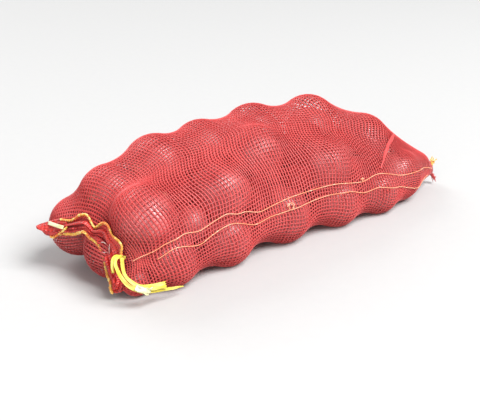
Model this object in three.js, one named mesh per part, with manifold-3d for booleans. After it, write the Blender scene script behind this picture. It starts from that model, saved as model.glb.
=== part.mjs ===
// A net sack of red onions lying on its side, its mouth drawn shut with a flat tape.
// Millimetres, +Z up, +X from the drawn mouth to the gathered far end, -Y to the seamed side.
// The origin is under the middle of the sack, on the surface that it lies on.
import * as THREE from 'three';
import { mergeVertices } from 'three/addons/utils/BufferGeometryUtils.js';
import Module from 'manifold-3d';

const wasm = await Module();
wasm.setup();

// ---- driving dimensions -------------------------------------------------------------

// The onions: x, y, height of the middle, radius. The net takes its form from them.
const ONIONS = {
  topBack: [
    [-172, 26, 68, 32], [-112, 36, 82, 34], [-48, 44, 84, 33],
    [22, 44, 87, 35], [98, 38, 87, 33], [148, 2, 63, 34],
  ],
  topFront: [
    [-172, -36, 65, 33], [-85, -36, 70, 32], [-22, -12, 88, 32], [58, -32, 63, 32],
  ],
  lowFront: [
    [-196, -52.5, 14, 13.5], [-157, -52, 27, 28], [-88, -47, 27, 29], [-7, -39, 30, 32],
    [66, -43, 27, 29], [128, -46, 24, 26], [172, -34, 29, 30], [217, -24, 26.5, 17],
  ],
  lowBack: [
    [-200, 44, 39, 29], [-132, 48, 27, 29], [-64, 50, 27, 29],
    [4, 52, 27, 29], [74, 50, 27, 29], [136, 38, 26, 28],
  ],
  lowMiddle: [
    [-192, -8, 30, 28], [-126, -4, 26, 28], [-48, 0, 26, 28], [22, 0, 26, 28], [92, -6, 26, 28],
  ],
};

// The drawn mouth: a slit along an arch from the flap's corner down to the floor. The hem
// is the pair of lips that flare from the slit to their free edges.
const MOUTH_ARCH = [[-227, 47, 42], [-213, 19, 65], [-193, -46, 57], [-213, -52, 8]];
const SLIT_HALF_HEIGHT = 2.5;    // half the slit's height where the net is gathered
const LIP_HEIGHT = { upper: 9.5, lower: 9 };
const LIP_LEAN = { upper: 2, lower: 8.5 };   // how far the free edge stands out of the mouth
// How far each lip's free edge waves away from the slit: angle round the mouth, rise.
const LIP_RISES = {
  upper: [
    [0, 0], [0.25, 3], [0.6, 0], [0.93, -6], [1.35, 3.2], [1.49, -5.5], [1.7, 8.6], [1.83, 4],
    [1.98, 11], [2.12, 5], [2.5, 2.2], [3.2, 0],
  ],
  lower: [
    [0, 0], [3.1, 0], [3.75, 6], [4.15, 12], [4.6, -4], [4.75, -3.5], [4.88, -6.5],
    [5.15, 1], [5.4, 2.5], [5.62, 8], [5.8, 7], [6.05, 2], [6.3, 0],
  ],
};
const HEM_THICKNESS = 1.8;
const HEM_STEPS = 108;
const ROOT_REACH = -0.3;         // the hem starts this far inside the gathers
const FLAP = { reach: 14, width: 0.42, towards: [-0.88, 0.1, 0.42] };  // the corner; width in radians
// The flap is stuffed: a tongue fills it between the lips, from its tip to an angle.
const TONGUE = { tip: 0.03, root: 0.85, bulge: 5, backShare: 0.5, front: [-0.35, -1, 0] };
const TONGUE_RINGS = 9;
const TONGUE_CORNERS = 12;

// The edging: a thick thread in front of each lip's free edge, between two angles.
const EDGING_RADIUS = 1.1;
const UPPER_EDGING = { from: 0.93, to: 2.0, offset: [-2.8, 0, 1.3] };
const LOWER_EDGING = { from: 3.6, to: 5.32, offset: [-4.2, 0, 0] };
// Across the tongue's root: angle round the mouth, and share of the way from lower to upper lip.
const FLAP_EDGING = [[0.62, 0.1], [0.68, 0.2], [0.76, 0.35], [0.82, 0.5]];

// The far end, gathered to a stub beside the floor.
const FAR_STUB = { middle: [240, -28, 19], radius: 6, tilt: 1 };
const FAR_TAIL_ROUTE = [[234, -29, 18], [240, -30, 15], [243, -32, 10], [245, -33, 7]];
const TUFT_ROUTE = [[241, -28, 20.5], [245, -27, 22.5], [247.5, -26.3, 26.5]];

// The net's grid and how it is drawn tight.
const STATIONS = 58;
const AROUND = 56;
const FIRST_STATION_X = -214;
const LAST_STATION_X = 234;
const MOUTH_BLEND = 0.02;        // share of the length where a loose ring turns into the mouth
const STUB_BLEND = 0.06;         // and into the far stub
const NEAR_ENOUGH = 1.25;        // a loose ring goes round the balls within this share of their radius
const LEAST_REACH = 8;
const LOOSENESS = 1.05;
const ROUNDING = 0.8;            // how much a ball's roundness narrows a loose ring beside it
const STANDS_OFF = 0.8;          // the net's middle stands this far off an onion
const RING_PULL = 0.45;          // share of the pull that runs round the sack
const SETTLING_STEPS = 400;
const STEP_SIZE = 0.95;

// Threads and tape.
const CLEAR = 0.35;              // air between two pieces that touch
const SEAT_GROWTH = 3 * CLEAR;   // how much wider than its piece a seat is cut
const THREAD_RADIUS = 0.7;
const THREAD_LIFT = 1.35;        // from the net to a seam thread's middle
// Where each seam thread runs: share of the sack's length, degrees round it (180 is the side).
const SEAMS = {
  upper: {
    from: 0.05, to: 0.985,
    route: [
      [0, 140], [0.095, 154], [0.14, 160], [0.19, 166], [0.25, 166], [0.29, 171], [0.36, 179],
      [0.43, 177], [0.58, 176], [0.665, 178], [0.735, 174], [0.815, 179], [1, 165],
    ],
  },
  lower: {
    from: 0.085, to: 0.95,
    route: [
      [0, 160], [0.11, 166], [0.185, 177], [0.25, 175], [0.335, 188], [0.455, 187], [0.545, 186],
      [0.615, 186], [0.67, 190], [0.715, 188], [0.77, 192], [0.87, 200], [1, 192],
    ],
  },
};
const TAPE_WIDTH = 5.5;
const TAPE_THICKNESS = 1.2;
const NARROW_TAPE_WIDTH = 4.2;
const KNOT_THICKNESS = 3.4;
const KNOT_ROUTE = [
  [-203, -46.5, 37.5], [-206.5, -48.5, 43], [-211, -50, 46], [-215.5, -52, 44],
  [-219, -53.5, 38], [-219.5, -54, 31],
];
const LONG_TAIL_ROUTE = [
  [-216, -58.2, 40.8], [-217, -61, 33.5], [-215.5, -64.5, 25.5], [-212.5, -68.5, 19.5], [-207.5, -73, 15.5],
  [-201.5, -78.5, 13.5], [-192, -80.5, 12.5], [-180, -80.5, 11], [-169, -80.5, 9], [-159, -81, 7],
];
const SHORT_TAIL_ROUTE = [
  [-208.1, -53, 43.4], [-209.9, -58.3, 34.7], [-209.5, -63.5, 26.5], [-206, -68, 21.5],
  [-201.5, -73, 18.5], [-197, -79.5, 18.5], [-190, -81.5, 18.5], [-181, -82, 17.5],
];
// The stretch of tape across the flap, by the same measures, and how far it is off the tongue.
const FLAP_TAPE = [[0.42, 0.93], [0.55, 0.85], [0.7, 0.75], [0.82, 0.64]];
const FLAP_TAPE_LIFT = 4;

const vector = ([x, y, z]) => new THREE.Vector3(x, y, z);
const OUT_OF_MOUTH = vector([-1, 0, 0]);
const onions = Object.values(ONIONS).flat();

// ---- the mouth ----------------------------------------------------------------------

const arch = new THREE.CubicBezierCurve3(...MOUTH_ARCH.map(vector));

// The value between the listed pairs of place and value, eased from each pair to the next.
function between(pairs, place) {
  const after = pairs.findIndex(([a]) => a > place);
  const [[a, low], [b, high]] = [pairs[after - 1], pairs[after]];
  return low + (high - low) * THREE.MathUtils.smoothstep(place, a, b);
}

// A point of the mouth: angle 0 is the flap's corner, a quarter turn the middle of the
// upper lip, half a turn the end on the floor; reach 0 is the gathers, 1 the free edge.
function mouthPoint(angle, reach) {
  const share = (1 - Math.cos(angle)) / 2;
  const side = Math.sin(angle);
  const lip = side > 0 ? 'upper' : 'lower';
  const along = arch.getTangent(share);
  const up = new THREE.Vector3(0, along.z, -along.y).normalize();
  const outward = up.clone().multiplyScalar(side).addScaledVector(along, -Math.cos(angle)).normalize();
  const height = SLIT_HALF_HEIGHT + (LIP_HEIGHT[lip] - SLIT_HALF_HEIGHT) * reach;
  const lean = (LIP_LEAN.upper * (1 + side) + LIP_LEAN.lower * (1 - side)) / 2;
  const fromCorner = Math.min(angle, 2 * Math.PI - angle) / FLAP.width;
  const flap = FLAP.reach * Math.exp(-fromCorner * fromCorner);
  const point = arch.getPoint(share)
    .addScaledVector(up, side * height)
    .addScaledVector(OUT_OF_MOUTH, lean * reach)
    .addScaledVector(vector(FLAP.towards), flap * reach)
    .addScaledVector(outward, between(LIP_RISES[lip], angle) * reach);
  return { point, outward };
}

// A point of the tongue in the flap: round runs from the lower lip (0) over the front to the
// upper lip (1) and back behind (2); lift is how far it is off the tongue.
function tonguePoint(angle, round, lift = 0) {
  const upper = mouthPoint(angle, 1).point;
  const lower = mouthPoint(2 * Math.PI - angle, 1).point;
  const swell = TONGUE.bulge * Math.sqrt(angle / TONGUE.root) * (round > 1 ? TONGUE.backShare : 1);
  const [cos, sin] = [Math.cos(Math.PI * round), Math.sin(Math.PI * round)];
  return lower.clone().lerp(upper, (1 - cos) / 2)
    .addScaledVector(vector(TONGUE.front), swell * sin + lift);
}

// ---- the net's surface --------------------------------------------------------------

const ringAngle = (k) => (2 * Math.PI * k) / AROUND;
const nearRing = Array.from({ length: AROUND }, (_, k) => mouthPoint(ringAngle(k), 0).point);
const farRing = nearRing.map((_, k) => vector(FAR_STUB.middle).add(new THREE.Vector3(
  FAR_STUB.tilt * Math.cos(ringAngle(k)),
  FAR_STUB.radius * Math.cos(ringAngle(k)),
  FAR_STUB.radius * Math.sin(ringAngle(k)),
)));

const middleOf = (ring) => ring.reduce((sum, p) => sum.add(p), new THREE.Vector3()).divideScalar(ring.length);

// A loose ring round the onions at one station, from how far they reach in each direction.
function looseRing(station) {
  const share = station / (STATIONS - 1);
  const x = FIRST_STATION_X + (LAST_STATION_X - FIRST_STATION_X) * share;
  const gathered = nearRing.map((p, k) => p.clone().lerp(farRing[k], share));
  const shift = x - middleOf(gathered).x;
  gathered.forEach((p) => { p.x += shift; });
  const here = onions.filter(([bx, , , r]) => Math.abs(bx - x) < r * NEAR_ENOUGH);
  if (here.length === 0) return gathered;
  const mid = (axis) => (Math.min(...here.map((b) => b[axis])) + Math.max(...here.map((b) => b[axis]))) / 2;
  const [midY, midZ] = [mid(1), mid(2)];
  const blend = Math.min(1, share / MOUTH_BLEND, (1 - share) / STUB_BLEND);
  return gathered.map((p, k) => {
    const [cy, cz] = [Math.cos(ringAngle(k)), Math.sin(ringAngle(k))];
    const reach = LOOSENESS * Math.max(LEAST_REACH, ...here.map(([bx, by, bz, r]) => (by - midY) * cy
      + (bz - midZ) * cz + Math.sqrt(Math.max(r * r - (ROUNDING * (bx - x)) ** 2, 0))));
    const round = new THREE.Vector3(x, midY + cy * reach, midZ + cz * reach);
    return p.lerp(round, blend);
  });
}

// Draws the rings tight: each knot moves to the middle of its neighbours, and is then put
// back outside the onions and above the floor.
function drawTight(rings) {
  const flat = rings.map((ring) => Float64Array.from(ring.flatMap((p) => [p.x, p.y, Math.max(p.z, 0)])));
  for (let step = 0; step < SETTLING_STEPS; step += 1) {
    const before = flat.map((ring) => ring.slice());
    for (let i = 1; i < STATIONS - 1; i += 1) {
      for (let k = 0; k < AROUND; k += 1) {
        const left = 3 * ((k + AROUND - 1) % AROUND);
        const right = 3 * ((k + 1) % AROUND);
        const knot = [0, 1, 2].map((c) => {
          const round = (before[i][left + c] + before[i][right + c]) / 2;
          const along = (before[i - 1][3 * k + c] + before[i + 1][3 * k + c]) / 2;
          const now = before[i][3 * k + c];
          return now + STEP_SIZE * (RING_PULL * round + (1 - RING_PULL) * along - now);
        });
        for (const [bx, by, bz, radius] of onions) {
          const away = [knot[0] - bx, knot[1] - by, knot[2] - bz];
          const distance = Math.hypot(...away);
          const least = radius + STANDS_OFF;
          if (distance < least) {
            const grow = least / Math.max(distance, 1e-6);
            knot[0] = bx + away[0] * grow;
            knot[1] = by + away[1] * grow;
            knot[2] = bz + away[2] * grow;
          }
        }
        flat[i][3 * k] = knot[0];
        flat[i][3 * k + 1] = knot[1];
        flat[i][3 * k + 2] = Math.max(knot[2], 0);
      }
    }
  }
  return flat.map((ring) => Array.from({ length: AROUND }, (_, k) => vector(ring.slice(3 * k, 3 * k + 3))));
}

const firstGuess = Array.from({ length: STATIONS }, (_, i) => {
  if (i === 0) return nearRing;
  return i === STATIONS - 1 ? farRing : looseRing(i);
});
const net = drawTight(firstGuess);

// ---- solids from rings and paths ----------------------------------------------------

// A closed body through a stack of rings; each end is closed by strips across the ring.
function loft(rings) {
  const count = rings[0].length;
  const positions = rings.flat().flatMap((p) => [p.x, p.y, p.z]);
  const index = [];
  for (let i = 0; i + 1 < rings.length; i += 1) {
    for (let k = 0; k < count; k += 1) {
      const next = (k + 1) % count;
      const [a, b, c, d] = [i * count + k, i * count + next, (i + 1) * count + next, (i + 1) * count + k];
      index.push(a, b, c, a, c, d);
    }
  }
  const close = (first, flip) => {
    for (let k = 0; k < count / 2; k += 1) {
      const [a, b] = [first + k, first + k + 1];
      const [c, d] = [first + ((count - k - 1) % count), first + ((count - k) % count)];
      const faces = [[a, c, b], [a, d, c]].filter((f) => new Set(f).size === 3);
      faces.forEach((f) => index.push(...(flip ? f.reverse() : f)));
    }
  };
  close(0, false);
  close((rings.length - 1) * count, true);
  return facing(positions, index);
}

// A band that closes on itself: one loop of rings, each with the same few corners.
function closedBand(sections) {
  const corners = sections[0].length;
  const positions = sections.flat().flatMap((p) => [p.x, p.y, p.z]);
  const index = [];
  sections.forEach((_, i) => {
    const after = (i + 1) % sections.length;
    for (let c = 0; c < corners; c += 1) {
      const next = (c + 1) % corners;
      const [a, b, d, e] = [i * corners + c, i * corners + next, after * corners + next, after * corners + c];
      index.push(a, b, d, a, d, e);
    }
  });
  return facing(positions, index);
}

// The geometry of an indexed mesh, with its faces turned outward.
function facing(positions, index) {
  let volume = 0;
  const corner = (n) => new THREE.Vector3(...positions.slice(3 * index[n], 3 * index[n] + 3));
  for (let n = 0; n < index.length; n += 3) volume += corner(n).dot(corner(n + 1).cross(corner(n + 2)));
  const turned = volume > 0 ? index : index.toReversed();
  const geometry = new THREE.BufferGeometry();
  geometry.setAttribute('position', new THREE.Float32BufferAttribute(positions, 3));
  geometry.setIndex(turned);
  return geometry;
}

// A path through given points whose section keeps one side towards a given direction.
class LaidPath extends THREE.Curve {
  constructor(points, faces) {
    super();
    this.points = points;
    this.faces = faces;
  }

  getSpacedPoints() {
    return this.points;
  }

  computeFrenetFrames() {
    const last = this.points.length - 1;
    const tangents = this.points.map((_, i) => this.points[Math.min(i + 1, last)].clone()
      .sub(this.points[Math.max(i - 1, 0)]).normalize());
    const normals = tangents.map((t, i) => this.faces[i].clone()
      .addScaledVector(t, -t.dot(this.faces[i])).normalize());
    const binormals = tangents.map((t, i) => t.clone().cross(normals[i]));
    return { tangents, normals, binormals };
  }
}

// A thread or a tape laid along points: its section is an ellipse, flat towards the faces.
function laid(points, faces, thickness, width, sides) {
  const section = new THREE.Shape(Array.from({ length: sides }, (_, k) => {
    const angle = (2 * Math.PI * (k + 0.5)) / sides;
    return new THREE.Vector2((thickness / 2) * Math.cos(angle), (width / 2) * Math.sin(angle));
  }));
  const extrudePath = new LaidPath(points, faces);
  return new THREE.ExtrudeGeometry(section, { steps: points.length - 1, extrudePath });
}

function smoothLaid(route, steps, face, thickness, width, sides) {
  const points = new THREE.CatmullRomCurve3(route.map(vector)).getSpacedPoints(steps);
  return laid(points, points.map(() => vector(face)), thickness, width, sides);
}

// The same piece swollen by the air that its neighbours keep, to cut its seat.
function seatOf(route, steps, face, thickness, width, sides) {
  const points = new THREE.CatmullRomCurve3(route.map(vector)).getSpacedPoints(steps);
  const reachOut = (end, inner) => end.addScaledVector(end.clone().sub(inner).normalize(), CLEAR);
  reachOut(points[0], points[1]);
  reachOut(points[steps], points[steps - 1]);
  const faces = points.map(() => vector(face));
  return laid(points, faces, thickness + SEAT_GROWTH, width + SEAT_GROWTH, sides);
}

function toSolid(geometry) {
  const bare = geometry.clone();
  bare.deleteAttribute('normal');
  bare.deleteAttribute('uv');
  const merged = mergeVertices(bare, 1e-4);
  return new wasm.Manifold(new wasm.Mesh({
    numProp: 3,
    vertProperties: Float32Array.from(merged.attributes.position.array),
    triVerts: Uint32Array.from(merged.index.array),
  }));
}

function toGeometry(solid) {
  const mesh = solid.getMesh();
  const geometry = new THREE.BufferGeometry();
  geometry.setAttribute('position', new THREE.Float32BufferAttribute(mesh.vertProperties, 3));
  geometry.setIndex([...mesh.triVerts]);
  return geometry;
}

// ---- the sack with its hem ----------------------------------------------------------

const hemAngle = (k) => (2 * Math.PI * k) / HEM_STEPS;

const hemSections = Array.from({ length: HEM_STEPS }, (_, k) => {
  const half = HEM_THICKNESS / 2;
  const corners = [[ROOT_REACH, half], [0.5, half], [1, half], [1, -half], [0.5, -half], [ROOT_REACH, -half]];
  return corners.map(([reach, side]) => {
    const { point, outward } = mouthPoint(hemAngle(k), reach);
    point.addScaledVector(outward, side);
    point.z = Math.max(point.z, 0);
    return point;
  });
});

const tongueRings = Array.from({ length: TONGUE_RINGS }, (_, i) => {
  const angle = THREE.MathUtils.lerp(TONGUE.tip, TONGUE.root, i / (TONGUE_RINGS - 1));
  return Array.from({ length: TONGUE_CORNERS }, (__, k) => tonguePoint(angle, (2 * k) / TONGUE_CORNERS));
});

// The net's frayed tail at the far stub, short and bent towards the floor.
const farTail = smoothLaid(FAR_TAIL_ROUTE, 4, [1, 0, 0], 3, 4, 6);

// The drawn tape: a knot over the hem, two tails and a short stretch by the flap.
const knot = [KNOT_ROUTE, 10, [-0.5, -0.7, 0.5], KNOT_THICKNESS, TAPE_WIDTH, 8];
const longTail = smoothLaid(LONG_TAIL_ROUTE, 24, [-0.45, -0.75, 0.35], TAPE_THICKNESS, NARROW_TAPE_WIDTH, 8);
const shortTail = smoothLaid(SHORT_TAIL_ROUTE, 20, [-0.4, -0.8, 0.4], TAPE_THICKNESS, TAPE_WIDTH, 8);
const onTongue = (route, lift) => route.map(([angle, round]) => tonguePoint(angle, round, lift).toArray());
const flapTape = smoothLaid(onTongue(FLAP_TAPE, FLAP_TAPE_LIFT), 6, TONGUE.front, TAPE_THICKNESS,
  NARROW_TAPE_WIDTH, 8);

// The net and its hem in one; crumbs that the folds close off are dropped.
const [sack] = toSolid(loft(net)).add(toSolid(closedBand(hemSections))).add(toSolid(loft(tongueRings)))
  .add(toSolid(farTail)).subtract(toSolid(seatOf(...knot))).decompose()
  .sort((p, q) => q.volume() - p.volume());

// ---- threads ------------------------------------------------------------------------

// A point of the net at a share of its length and an angle round it, and which way is out.
function netPoint(share, degrees) {
  const at = share * (STATIONS - 1);
  const around = ((degrees / 360) * AROUND + AROUND) % AROUND;
  const [i, k] = [Math.min(Math.floor(at), STATIONS - 2), Math.floor(around)];
  const pick = (di, dk) => net[i + di][(k + dk) % AROUND];
  const mix = (di) => pick(di, 0).clone().lerp(pick(di, 1), around - k);
  const point = mix(0).lerp(mix(1), at - i);
  const length = pick(1, 0).clone().add(pick(1, 1)).sub(pick(0, 0)).sub(pick(0, 1));
  const round = pick(0, 1).clone().add(pick(1, 1)).sub(pick(0, 0)).sub(pick(1, 0));
  return { point, outward: round.cross(length).normalize() };
}

// Two threads run along the side seam; near the mouth they climb towards the knot.
function seamThread({ from, to, route }) {
  const steps = STATIONS - 1;
  const shares = Array.from({ length: steps + 1 }, (_, n) => n / steps).filter((s) => s >= from && s <= to);
  const lie = shares.map((share) => netPoint(share, between(route, share)));
  const points = lie.map(({ point, outward }) => point.addScaledVector(outward, THREAD_LIFT));
  return laid(points, lie.map(({ outward }) => outward), 2 * THREAD_RADIUS, 2 * THREAD_RADIUS, 6);
}

// The edging along the free edge of one lip.
function lipEdging({ from, to, offset }) {
  const edge = Array.from({ length: HEM_STEPS }, (_, k) => hemAngle(k)).filter((a) => a >= from && a <= to)
    .map((angle) => mouthPoint(angle, 1));
  const points = edge.map(({ point }) => point.add(vector(offset)));
  return laid(points, edge.map(({ outward }) => outward), 2 * EDGING_RADIUS, 2 * EDGING_RADIUS, 6);
}

// ---- the object ---------------------------------------------------------------------

const finish = (color, roughness) => new THREE.MeshStandardMaterial({ color, roughness, metalness: 0 });
const netRed = finish('#c8403f', 0.6);
const edgingOrange = finish('#f0983c', 0.6);
const seamCream = finish('#ecb07f', 0.65);
const tapeYellow = finish('#f0d050', 0.45);

const group = new THREE.Group();
const place = (name, geometry, material) => {
  const mesh = new THREE.Mesh(geometry, material);
  mesh.name = name;
  group.add(mesh);
};

place('net_sack', toGeometry(sack), netRed);
place('edging_upper', lipEdging(UPPER_EDGING), edgingOrange);
place('edging_lower', lipEdging(LOWER_EDGING), edgingOrange);
place('edging_flap', smoothLaid(onTongue(FLAP_EDGING, EDGING_RADIUS + 4 * CLEAR), 8, TONGUE.front,
  2 * EDGING_RADIUS, 2 * EDGING_RADIUS, 6), edgingOrange);
place('seam_thread_upper', seamThread(SEAMS.upper), seamCream);
place('seam_thread_lower', seamThread(SEAMS.lower), seamCream);
place('tape_knot', smoothLaid(...knot), tapeYellow);
place('tape_tail_short', shortTail, tapeYellow);
place('tape_tail_long', longTail, tapeYellow);
place('tape_at_flap', flapTape, tapeYellow);
place('far_thread_tuft', smoothLaid(TUFT_ROUTE, 4, [1, 0, 0], 2.2, 2.6, 6), tapeYellow);

export default group;
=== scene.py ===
"""A net sack of red onions, dressed over its plain model.

The net is drawn tight over the onions by the same steps as the plain model, on a finer grid, and
each thread of it is a mesh. Sizes are in millimetres until a mesh is made, then in metres.
"""
import math

import bmesh
import bpy
import numpy as np
from mathutils import Matrix, Vector


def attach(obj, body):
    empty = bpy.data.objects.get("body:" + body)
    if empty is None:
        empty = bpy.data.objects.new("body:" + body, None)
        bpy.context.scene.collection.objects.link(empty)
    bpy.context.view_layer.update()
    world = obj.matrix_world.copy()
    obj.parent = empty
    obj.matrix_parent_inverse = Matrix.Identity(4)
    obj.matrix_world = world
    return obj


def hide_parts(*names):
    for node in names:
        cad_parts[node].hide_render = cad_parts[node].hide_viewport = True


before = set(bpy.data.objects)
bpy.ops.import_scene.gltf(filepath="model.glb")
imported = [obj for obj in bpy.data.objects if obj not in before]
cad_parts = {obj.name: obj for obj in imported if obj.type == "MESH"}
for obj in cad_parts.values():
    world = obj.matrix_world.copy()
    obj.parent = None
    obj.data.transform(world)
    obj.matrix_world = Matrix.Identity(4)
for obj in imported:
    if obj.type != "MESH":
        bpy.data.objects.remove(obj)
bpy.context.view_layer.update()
MM = 0.001
NEARLY_NOTHING = 1e-9
rng = np.random.default_rng(11)


def unit(v):
    """v, or each row of v, made one long."""
    v = np.asarray(v, float)
    return v / np.maximum(np.linalg.norm(v, axis=-1, keepdims=True), NEARLY_NOTHING)


# ---- the camera -----------------------------------------------------------------------

AZIMUTH, ELEVATION = math.radians(-38), math.radians(23)
LOOKS_AT = Vector((-30.7, 0.6, 25.2)) * MM
DISTANCE = 1.0
FOCAL_LENGTH, SENSOR_WIDTH = 69.75, 36

towards_camera = Vector((math.sin(AZIMUTH) * math.cos(ELEVATION),
                         -math.cos(AZIMUTH) * math.cos(ELEVATION), math.sin(ELEVATION)))
camera = bpy.data.objects.new("camera", bpy.data.cameras.new("camera"))
camera.data.sensor_width = SENSOR_WIDTH
camera.data.lens = FOCAL_LENGTH
camera.data.clip_start = 0.01
camera.location = LOOKS_AT + DISTANCE * towards_camera
camera.rotation_euler = towards_camera.to_track_quat("Z", "Y").to_euler()
bpy.context.collection.objects.link(camera)
bpy.context.scene.camera = camera


# ---- making meshes --------------------------------------------------------------------

def mesh_piece(name, points, faces, uv=None):
    """An object from points in millimetres and faces; uv is one pair for each point."""
    mesh = bpy.data.meshes.new(name)
    mesh.from_pydata((np.asarray(points) * MM).tolist(), [], faces)
    if uv is not None:
        corners = np.zeros(len(mesh.loops), dtype=np.int32)
        mesh.loops.foreach_get("vertex_index", corners)
        layer = mesh.uv_layers.new(name="cloth")
        layer.data.foreach_set("uv", np.asarray(uv, float)[corners].ravel())
    mesh.polygons.foreach_set("use_smooth", [True] * len(mesh.polygons))
    mesh.update()
    piece = bpy.data.objects.new(name, mesh)
    bpy.context.collection.objects.link(piece)
    return piece


def grid_faces(rows, columns, wrap_rows=False, wrap_columns=True):
    """Quads of a grid of points; the columns run round and close by default."""
    r = np.arange(rows if wrap_rows else rows - 1)[:, None]
    c = np.arange(columns if wrap_columns else columns - 1)[None, :]
    r2, c2 = (r + 1) % rows, (c + 1) % columns
    quads = np.stack(np.broadcast_arrays(r * columns + c, r * columns + c2,
                                         r2 * columns + c2, r2 * columns + c), axis=-1)
    return quads.reshape(-1, 4)


def swept(lines, sections, closed=False):
    """Points and faces of threads: lines is (threads, points, 3), sections the same with one
    more axis of section corners. Open threads get flat ends."""
    threads, count, corners = sections.shape[:3]
    points = (lines[:, :, None, :] + sections).reshape(-1, 3)
    one = grid_faces(count, corners, wrap_rows=closed)
    faces = (one[None] + (np.arange(threads) * count * corners)[:, None, None]).reshape(-1, 4).tolist()
    if not closed:
        for t in range(threads):
            start = t * count * corners
            end = start + (count - 1) * corners
            faces.append([start + c for c in reversed(range(corners))])
            faces.append([end + c for c in range(corners)])
    return points, faces


def tangents(line):
    """Directions along a line of points."""
    return unit(np.gradient(line, axis=0))


def run_along(line):
    """How far each point is along a line of points."""
    return np.concatenate([[0], np.cumsum(np.linalg.norm(np.diff(line, axis=0), axis=1))])


def placed_along(line, run, places):
    """The points of a line at given places of its run."""
    return np.stack([np.interp(places, run, line[:, c]) for c in range(3)], axis=1)


def smooth_line(route, count):
    """count points evenly along a smooth curve through a route."""
    route = np.asarray(route, float)
    ends = np.vstack([2 * route[0] - route[1], route, 2 * route[-1] - route[-2]])
    fine = []
    for i in range(1, len(ends) - 2):
        before, a, b, after = ends[i - 1:i + 3]
        t = np.linspace(0, 1, 24, endpoint=False)[:, None]
        fine.append(0.5 * (2 * a + (b - before) * t + (2 * before - 5 * a + 4 * b - after) * t ** 2
                           + (3 * a - before - 3 * b + after) * t ** 3))
    fine = np.vstack(fine + [ends[-2:-1]])
    run = run_along(fine)
    return placed_along(fine, run, np.linspace(0, run[-1], count))


def bell(spread):
    """Half the length of a bell-shaped run of weights, and the weights."""
    reach = int(3 * spread)
    return reach, np.exp(-0.5 * (np.arange(-reach, reach + 1) / spread) ** 2)


def wander(count, size, spread):
    """A smooth random walk about zero, such as hand-laid thread makes; three columns."""
    reach, weights = bell(spread)
    padded = np.pad(rng.normal(size=(count, 3)), ((reach, reach), (0, 0)), mode="reflect")
    eased = np.stack([np.convolve(padded[:, c], weights, "valid") for c in range(3)], axis=1)
    return size * eased / max(eased.std(), NEARLY_NOTHING)


def twine(line, strand_radius, strands, turn_length, sides, normal):
    """Points and faces of a twisted thread along a line of points."""
    line = np.asarray(line, float)
    along = tangents(line)
    side = unit(np.cross(along, np.asarray(normal, float)))
    up = unit(np.cross(side, along))
    run = run_along(line)
    corners = 2 * np.pi * np.arange(sides) / sides
    lines, sections = [], []
    for n in range(strands):
        phase = (2 * np.pi * (run / turn_length + n / strands))[:, None]
        lines.append(line + strand_radius * (np.cos(phase) * side + np.sin(phase) * up))
        sections.append(strand_radius * (np.cos(corners)[None, :, None] * side[:, None]
                                         + np.sin(corners)[None, :, None] * up[:, None]))
    return swept(np.array(lines), np.array(sections))


def joined(parts):
    """Points and faces of several point-and-face pairs as one."""
    faces, first = [], 0
    for points, own in parts:
        faces += [[i + first for i in face] for face in own]
        first += len(points)
    return np.vstack([points for points, _ in parts]), faces


def finish_piece(piece, material, slot_name, *nodes):
    """Gives a piece its material and its body, and hides the plain model's parts for the nodes it stands for.
    slot_name is not used.
    """
    piece.data.materials.clear()
    piece.data.materials.append(material)
    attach(piece, "root")
    if nodes:
        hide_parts(*nodes)
    return piece


# ---- materials ------------------------------------------------------------------------

class Value:
    """A shader socket that takes part in Python arithmetic."""

    def __init__(self, finish, socket):
        self.finish, self.socket = finish, socket

    def _math(self, operation, first, second):
        return self.finish.add("ShaderNodeMath", {"operation": operation}, {0: first, 1: second})

    def __add__(self, other):
        return self._math("ADD", self, other)

    def __mul__(self, other):
        return self._math("MULTIPLY", self, other)

    def __rsub__(self, other):
        return self._math("SUBTRACT", other, self)

    __radd__, __rmul__ = __add__, __mul__


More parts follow.
